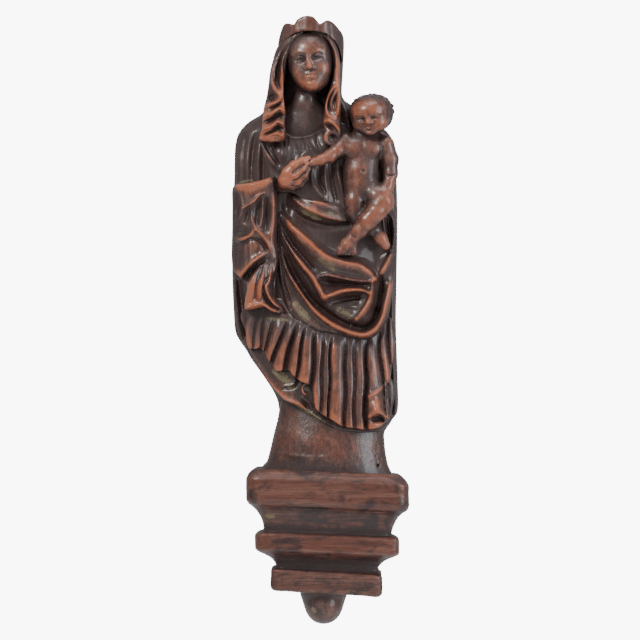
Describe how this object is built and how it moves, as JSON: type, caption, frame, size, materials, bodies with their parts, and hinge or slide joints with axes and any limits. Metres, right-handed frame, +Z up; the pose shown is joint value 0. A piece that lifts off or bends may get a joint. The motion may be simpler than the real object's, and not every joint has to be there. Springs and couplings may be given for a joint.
{
  "type": "madonna statue",
  "caption": "Slim wall-hung relief statue of a crowned Madonna holding the Child, on a round plinth and a stepped console with a drop knob; flat back with a swinging hanger ring.",
  "frame": {"origin": "point on the wall plane where the nail carries the hanger ring", "axes": "+X to the viewer's right, +Y into the wall, +Z up; the flat back lies in Y = 0"},
  "size_m": [0.0937, 0.04, 0.3205],
  "materials": {
    "painted_plaster": "semi-gloss varnish over dark brown paint, rubbed through to copper on the ridges",
    "beech": "plain turned dowel",
    "zinc_steel": "zinc plated"
  },
  "bodies": {
    "statue": {"armature_rod": "zinc_steel", "child_casting": "painted_plaster", "child_dowel_lower": "beech", "child_dowel_upper": "beech", "child_head": "painted_plaster", "child_neck_pin": "zinc_steel", "console_lower_tier": "painted_plaster", "console_middle_tier": "painted_plaster", "console_upper_tier": "painted_plaster", "crown": "painted_plaster", "crown_pin_left": "zinc_steel", "crown_pin_right": "zinc_steel", "drop_knob": "painted_plaster", "hanger_screw_lower": "zinc_steel", "hanger_screw_upper": "zinc_steel", "hanger_strap": "zinc_steel", "madonna_casting": "painted_plaster", "plinth": "painted_plaster", "plinth_dowel_left": "beech", "plinth_dowel_right": "beech"},
    "ring": {"hanger_ring": "zinc_steel"}
  },
  "joints": [
    {"name": "ring_swing", "type": "hinge", "parent": "statue", "child": "ring", "pos_m": [0, -0.004, -0.009], "axis": [1, 0, 0], "range_deg": [0, 180]}
  ]
}
